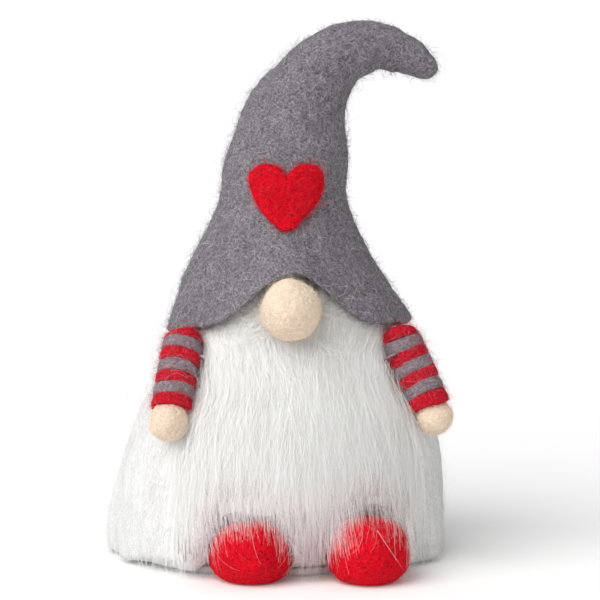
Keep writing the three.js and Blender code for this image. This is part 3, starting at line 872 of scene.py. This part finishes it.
def beard_root_z(angle):
    """The beard's fibres start just inside the brim, and just under the nose."""
    turned = angle - FACE_TURN
    beside = HAT_RIM_Z + 1.5 + arch_rise(turned)
    nose_gap = np.exp(-((turned / 0.21) ** 6))
    return beside * (1 - nose_gap) + BEARD_UNDER_NOSE * nose_gap


def over_feet(angle):
    """1 where the beard hangs over the middle of a foot, falling to 0 beside it."""
    return np.maximum.reduce([np.exp(-(((angle - foot) / 0.25) ** 4)) for foot in foot_angles])


def off_the_feet(points, gap):
    """Points moved forward out of the feet, so that fibres drape over them."""
    for centre, half in foot_boxes:
        middle = 0.88 * half[2]
        size = half + gap
        size[..., 2] = 2 * half[2] - middle + gap[..., 0]
        x, y, z = (points[..., k] for k in range(3))
        room = 1 - ((x - centre[0]) / size[..., 0]) ** 2 - ((z - middle) / size[..., 2]) ** 2
        surface_y = centre[1] - size[..., 1] * np.sqrt(np.clip(room, 0, None))
        points = np.stack([x, np.where(room > 0, np.minimum(y, surface_y), y), z], axis=-1)
    return points


def lattice_of(numbers, seed):
    """A repeatable number from -1 to 1 for each whole number."""
    cells = np.stack([numbers, 0 * numbers, 0 * numbers], axis=-1).astype(np.int64)
    return 2 * lattice(cells, seed) - 1


def beard_sway(angle, z):
    """The sideways waves, in radians, that neighbouring fibres share."""
    place = np.stack([70 * angle, 0 * z, 0.5 * z], axis=-1).reshape(-1, 3)
    return (0.035 * noise(place, 19, 81) + 0.01 * noise(place, 7, 82)).reshape(z.shape)


def beard_paths(rng, count, low, high, steps):
    """Paths of fibres whose share of the beard's width is from low to high."""
    u = rng.uniform(low, high, count)
    depth = rng.random(count) ** 0.7
    layer = np.floor(depth * BEARD_LAYERS)
    tuft = np.floor(u * BEARD_TUFTS + rng.normal(0, 0.3, count) + layer / BEARD_LAYERS)
    own = tuft + 157 * layer
    across, reach, lean, rise = (lattice_of(own, 71 + k) for k in range(4))
    tuft_u = (tuft + 0.5 - layer / BEARD_LAYERS + 0.5 * across) / BEARD_TUFTS
    edge = np.clip(1 - np.minimum(u, 1 - u) / 0.08, 0, 1)
    root_z = beard_root_z(beard_angle(u, BEARD_ROOT)) + rng.uniform(-1.5, 1.5, count)
    feet_rise = BEARD_OVER_FEET * over_feet(beard_angle(u, FOOT_TOP))
    off_centre = np.clip(np.abs(u - tuft_u) * BEARD_TUFTS, 0, 1)
    end = BEARD_END + feet_rise + 6 * reach + 8 * off_centre + rng.exponential(2.5, count)
    short = rng.random(count) < BEARD_SHORT + (1 - BEARD_SHORT) * 0.5 * edge
    higher = end + 3 + BEARD_THINNING * rng.beta(1.3, 1.5, count)
    end = np.maximum(np.where(short, higher, end), 0.6)
    t = np.linspace(0, 1, steps)[None, :] ** 0.9
    z = root_z[:, None] + (end - root_z)[:, None] * t
    pull = (rng.uniform(0.1, 0.9, count) * (1 - 0.7 * edge))[:, None] * smoothstep(t, 0.5, 1.0)
    share = u[:, None] + np.clip(tuft_u - u, -0.02, 0.02)[:, None] * pull
    spread = 0.016 + 0.045 * edge
    wave = 6 * t * rng.uniform(0.5, 1.8, count)[:, None] + rng.uniform(0, 6.3, count)[:, None]
    drift = (rng.normal(0, 1, count) * spread)[:, None] * t + 0.01 * t * np.sin(wave)
    angle = beard_angle(share, z) + drift + 0.02 * (lean[:, None] * t**2) * (1 - edge[:, None])
    angle += beard_sway(angle, z) * smoothstep(t, 0, 0.35)
    angle += 0.034 * rng.normal(size=(count, 1)) * smoothstep(t, 0.75, 1.0) * (1 - edge[:, None])
    inside, outside = along(BEARD_INSIDE, z), along(BEARD_OUTSIDE, z)
    thin = 1 - 0.5 * edge[:, None]
    ridge = 0.6 * rise[:, None] * smoothstep(t, 0.1, 0.8)
    swell = 0.4 * np.sin(wave + 1)
    radius = inside + depth[:, None] * ((outside - inside) * thin + ridge + swell)
    gap = 0.4 + 2.0 * depth[:, None, None]
    paths = off_the_feet(on_robe(angle, radius, z), gap)
    width = np.where(short, rng.uniform(0.06, 0.13, count), rng.uniform(0.12, 0.2, count))
    # Deeper fibres take darker colours, painted shade among the fibres, with a random spread.
    shade = np.clip(0.15 + 0.7 * depth + 0.2 * rng.normal(size=count), 0, 1)
    return paths, angle, z, width, shade


def outward(angle, rise):
    """Directions away from the robe's axis, tilted up by rise."""
    return np.stack([np.sin(angle), -np.cos(angle), rise + 0 * angle], axis=-1)


def make_beard_lock(index, count, steps=11):
    rng = np.random.default_rng(900 + index)
    low, high = index / BEARD_LOCKS, (index + 1) / BEARD_LOCKS
    paths, angle, z, width, shade = beard_paths(rng, count, low, high, steps)
    facing = unit(outward(angle, 0.75) + 0.35 * rng.normal(size=(count, 1, 3)))
    left, right = along(BEARD_LEFT, z), along(BEARD_RIGHT, z)
    # tone places each point on the beard's painted shade ramp by height; beside moves fibres near the
    # beard's edges further up it.
    beside = smoothstep(np.abs((angle - left) / (right - left) - 0.5), 0.34, 0.5)
    tone = np.clip(paths[..., 2] / BEARD_TONE_TOP + 0.35 * beside, 0, 1)
    lock = strands(f"beard_fibres_{index + 1}", paths, facing, width, shade, tone)
    blend_beard(lock, (f"beard_lock_{index + 1}",))


def make_beard_strays(count, steps=12):
    """Long loose fibres that cross the others, near the nose and the edges, and whiskers that
    hang over the feet."""
    rng = np.random.default_rng(950)
    u = np.where(rng.random(count) < 0.5, rng.normal(0.44, 0.2, count), rng.beta(0.6, 0.6, count))
    u = np.clip(u, 0, 1)
    start = beard_root_z(beard_angle(u, BEARD_ROOT)) - rng.uniform(0, 34, count)
    length = np.minimum(rng.uniform(14, 70, count), start - 22)
    heading = rng.normal(0, 0.22, count) + 0.5 * rng.normal(0, 1, count) * (length < 34)
    curl = rng.normal(0, 0.4, count) + 0.5 * rng.normal(0, 1, count) * (length < 34)
    whisker = rng.random(count) < 0.05
    u = np.where(whisker, rng.uniform(0.04, 0.96, count), u)
    start = np.where(whisker, rng.uniform(22, 44, count), start)
    length = np.where(whisker, rng.uniform(8, 20, count), length)
    heading = np.where(whisker, rng.normal(0, 0.4, count), heading)
    t = np.linspace(0, 1, steps)[None, :]
    turn = heading[:, None] + curl[:, None] * t
    step = length[:, None] / (steps - 1)
    z = start[:, None] - np.cumsum(np.cos(turn) * step, axis=1)
    aside = np.cumsum(np.sin(turn) * step, axis=1)
    z = np.maximum(z, 1.5)
    outside = along(BEARD_OUTSIDE, z)
    angle = beard_angle(u[:, None], z) + aside / outside
    lift = 0.6 + rng.exponential(0.9, count)[:, None] * np.sin(math.pi * (0.1 + 0.8 * t))
    paths = off_the_feet(on_robe(angle, outside + lift, z), 2.4 + 0 * angle[..., None])
    facing = unit(outward(angle, 0.2) + 0.3 * rng.normal(size=(count, 1, 3)))
    # The strays take the same painted shade by height.
    tone = np.clip(paths[..., 2] / BEARD_TONE_TOP, 0.2, 1)
    width = rng.uniform(0.06, 0.12, count)
    strays = strands("beard_strays", paths, facing, width, rng.random(count), tone)
    blend_beard(strays)


def make_beard_curls(count, steps=14):
    """Loose curled fibres on both sides of the nose, some of them over the edge of the brim."""
    rng = np.random.default_rng(960)
    t = np.linspace(0, 1, steps)[None, :]
    side = np.where(rng.random(count) < 0.5, -1.0, 1.0)
    start = rng.uniform(94, 111, count)
    turn = rng.uniform(0.2, 1.9, count)[:, None] + rng.normal(0, 1.1, count)[:, None] * t
    step = rng.uniform(8, 20, count)[:, None] / (steps - 1)
    z = start[:, None] - np.cumsum(np.cos(turn) * step, axis=1)
    aside = side[:, None] * np.cumsum(np.sin(turn) * step, axis=1)
    outside = along(BEARD_OUTSIDE, z)
    angle = FACE_TURN + (side * rng.uniform(0.14, 0.3, count))[:, None] + aside / outside
    lift = 1 + rng.uniform(4, 8, count)[:, None] * t**0.7
    paths = on_robe(angle, outside + lift, z)
    # The curls take the same painted shade by height.
    tone = np.clip(z / BEARD_TONE_TOP, 0, 1)
    width = rng.uniform(0.08, 0.14, count)
    facing = unit(outward(angle, 0.2))
    curls = strands("beard_curls", paths, facing, width, rng.random(count), tone)
    blend_beard(curls)


def blend_beard(obj, nodes=(), material=None):
    obj.data.materials.clear()
    obj.data.materials.append(material or beard_material)
    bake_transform(obj)
    if nodes:
        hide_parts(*nodes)


def make_under_beard():
    """The dense short wool under the fibres."""
    z = np.linspace(0, 1, 70)[:, None]
    u = np.linspace(0.02, 0.98, 120)[None, :]
    top = beard_root_z(beard_angle(u, BEARD_ROOT)) - 1
    ragged = 2.2 * lattice_of(np.arange(u.size)[None, :], 93)
    bottom = 9 + 17 * over_feet(beard_angle(u, FOOT_TOP)) + ragged
    height = top + (bottom - top) * z
    angle = beard_angle(u, height)
    inside = along(BEARD_INSIDE, height)
    reach = 0.55 * (along(BEARD_OUTSIDE, height) - inside)
    thin = (1 - smoothstep(z, 0.8, 1)) * smoothstep(np.minimum(u, 1 - u), 0.01, 0.09)
    front = on_robe(angle, inside + 0.3 + reach * thin, height)
    back = on_robe(angle, inside + 0 * u, height)
    # The under-wool's colour by height follows its painted shadow ramp.
    uv_z = height / BEARD_TONE_TOP
    grid = np.concatenate([front, back[:, ::-1]], axis=1)
    tone = np.concatenate([uv_z + 0 * u, (uv_z + 0 * u)[:, ::-1]], axis=1)
    share = np.concatenate([u + 0 * z, (u + 0 * z)[:, ::-1]], axis=1)
    uv = np.stack([0.02 + 0.9 * share, 0.02 + 0.96 * np.clip(tone, 0, 1)], axis=-1).reshape(-1, 2)
    obj = make_object("beard_under_wool", grid.reshape(-1, 3), grid_faces(*grid.shape[:2]), uv)
    roughen(obj, lambda points: 0.5 * noise(points * [1, 1, 0.12], 1.4, 91))
    blend_beard(obj, ("beard_underlayer", "beard_root"), under_beard_material)


FIBRES_PER_LOCK = 9900
STRAYS = 1600
CURLS = 110

make_under_beard()
for index in range(BEARD_LOCKS):
    make_beard_lock(index, FIBRES_PER_LOCK)
make_beard_strays(STRAYS)
make_beard_curls(CURLS)

# ---------------------------------------------------------------- fuzz


def add_fuzz(obj, material, body, slot, **fibre):
    fibres = fuzz(f"{obj.name}_fuzz", obj, **fibre)
    fibres.data.materials.append(material)
    if body is None:
        bend_hat(fibres)
    else:
        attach(fibres, body)
    return fibres


def outside_robe(points):
    """1 for points on the outside of the robe, 0 inside it and under it."""
    axis = np.stack([ROBE_LEAN * points[:, 2], 0 * points[:, 2]], axis=1)
    reach = np.linalg.norm((points[:, :2] - axis) / [1, DEPTH], axis=1)
    return (reach > robe_radius(points[:, 2]) - 2.4) * 1.0


def outside_hat(points):
    """1 for points on the hat's outside that the heart leaves bare. The wall inside the hat is
    nearer to its centre line."""
    low, high = (np.array(corner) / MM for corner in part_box("heart"))
    under_heart = (points[:, 1] < 0) & ((points > low - 1) & (points < high + 1))[:, [0, 2]].all(axis=1)
    stations = np.linspace(0, 5, 60)
    x, z, radius = spline(hat_line, stations).T
    near = np.interp(points[:, 2], z, stations)
    centre = np.stack([np.interp(near, stations, x), 0 * near], axis=1)
    reach = np.linalg.norm(points[:, :2] - centre, axis=1)
    outer = (points[:, 2] > 150) | (reach > DEPTH * np.interp(near, stations, radius) - 3)
    return (outer & ~under_heart) * 1.0


def above_sole(points):
    return (points[:, 2] > 2) * 1.0


def downward(normals):
    return np.array([0.0, 0.0, -1.0]) + 0 * normals


add_fuzz(hat, grey_fuzz, None, "grey_felt",
         count=24000, length=4.6, lift=0.9, width=0.14, seed=101, keep=outside_hat)
add_fuzz(robe, white_fuzz, "figure", "white_felt",
         count=12000, length=9.0, lift=0.8, width=0.1, seed=102, keep=outside_robe, run=downward)
add_fuzz(heart, red_fuzz, "figure", "red_felt", count=3600, length=2.8, lift=0.55, width=0.1, seed=103)
add_fuzz(nose, skin_fuzz, "figure", "skin_felt", count=2600, length=3.0, lift=0.6, width=0.09, seed=104)
for index, foot in enumerate(feet):
    add_fuzz(foot, red_fuzz, "figure", "red_felt",
             count=4500, length=3.0, lift=0.4, width=0.09, seed=105 + index, keep=above_sole)
for side, (bands, hand) in arms.items():
    body = f"arm_{side}"
    arm_up = arm_axes(side)[1][2]
    add_fuzz(hand, skin_fuzz, body, "skin_felt", count=1500, length=2.6, lift=0.4, width=0.08, seed=110)
    for index, band in enumerate(bands):
        colour = "red" if index % 2 == 0 else "grey"
        material = red_fuzz if colour == "red" else grey_fuzz
        add_fuzz(band, material, body, f"{colour}_roving",
                 count=900, length=4.2, lift=0.5, width=0.09, seed=120 + index,
                 run=lambda normals: np.cross(normals, arm_up))

# ---------------------------------------------------------------- inner CAD pieces

INNER_MATERIALS = {
    "body_core": stuffing, "hat_stuffing": stuffing, "weight_bag": cotton, "bag_tie": cotton,
    "weight_grit": grit, "hat_wire": wire, "tip_wire": wire,
    "head_ball": white_felt, "base_disc": white_felt,
    "shoulder_thread_left": white_felt, "shoulder_thread_right": grey_roving,
    "arm_core_left": grey_roving, "arm_core_right": grey_roving,
}
for node, material in INNER_MATERIALS.items():
    mesh = frame["nodes"][node].data
    mesh.materials.clear()
    mesh.materials.append(material)

# ---------------------------------------------------------------- floor, light and camera


def make_floor():
    mesh = bpy.data.meshes.new("floor")
    size = 60.0
    corners = [(-size, -size, 0), (size, -size, 0), (size, size, 0), (-size, size, 0)]
    mesh.from_pydata([(x, y, z - 0.0002) for x, y, z in corners], [], [(0, 1, 2, 3)])
    floor = bpy.data.objects.new("floor", mesh)
    bpy.context.scene.collection.objects.link(floor)
    material, _, shader = new_material("floor", 0.9, 0.1)
    shader.inputs["Base Color"].default_value = (0.93, 0.93, 0.93, 1)
    shader.inputs["Emission Color"].default_value = (1, 1, 1, 1)
    shader.inputs["Emission Strength"].default_value = 0.05
    mesh.materials.append(material)


def make_world():
    world = bpy.data.worlds.new("studio")
    world.use_nodes = True
    tree = world.node_tree
    output = tree.nodes["World Output"]
    seen = tree.nodes["Background"]
    seen.inputs["Color"].default_value = (1, 1, 1, 1)
    seen.inputs["Strength"].default_value = 1.2
    light = add_node(tree, "ShaderNodeBackground", Color=(1, 1, 1, 1), Strength=0.5)
    path = add_node(tree, "ShaderNodeLightPath")
    choose = add_node(tree, "ShaderNodeMixShader")
    tree.links.new(path.outputs["Is Camera Ray"], choose.inputs[0])
    tree.links.new(light.outputs[0], choose.inputs[1])
    tree.links.new(seen.outputs[0], choose.inputs[2])
    tree.links.new(choose.outputs[0], output.inputs["Surface"])
    bpy.context.scene.world = world


def make_sun(name, azimuth, elevation, strength, softness):
    """A soft light from an azimuth, in degrees from the face towards +X, and an elevation."""
    light = bpy.data.lights.new(name, "SUN")
    light.energy = strength
    light.angle = math.radians(softness)
    obj = bpy.data.objects.new(name, light)
    a, e = math.radians(azimuth), math.radians(elevation)
    toward = Vector((math.sin(a) * math.cos(e), -math.cos(a) * math.cos(e), math.sin(e)))
    obj.rotation_euler = toward.to_track_quat("Z", "Y").to_euler()
    bpy.context.scene.collection.objects.link(obj)


def make_camera():
    camera = bpy.data.cameras.new("camera")
    camera.lens = 149.3
    camera.sensor_width = 36
    camera.clip_end = 200
    obj = bpy.data.objects.new("camera", camera)
    azimuth, distance, height, aim_x = math.radians(-6), 1.045, 0.222, 0.011
    obj.location = (aim_x + math.sin(azimuth) * distance, -math.cos(azimuth) * distance, height)
    obj.rotation_euler = (math.radians(90 - 6.3), 0, azimuth)
    bpy.context.scene.collection.objects.link(obj)
    bpy.context.scene.camera = obj


make_floor()
make_world()
make_sun("key", -50, 42, 2.6, 60)
make_camera()
bpy.context.scene.view_settings.view_transform = "Standard"
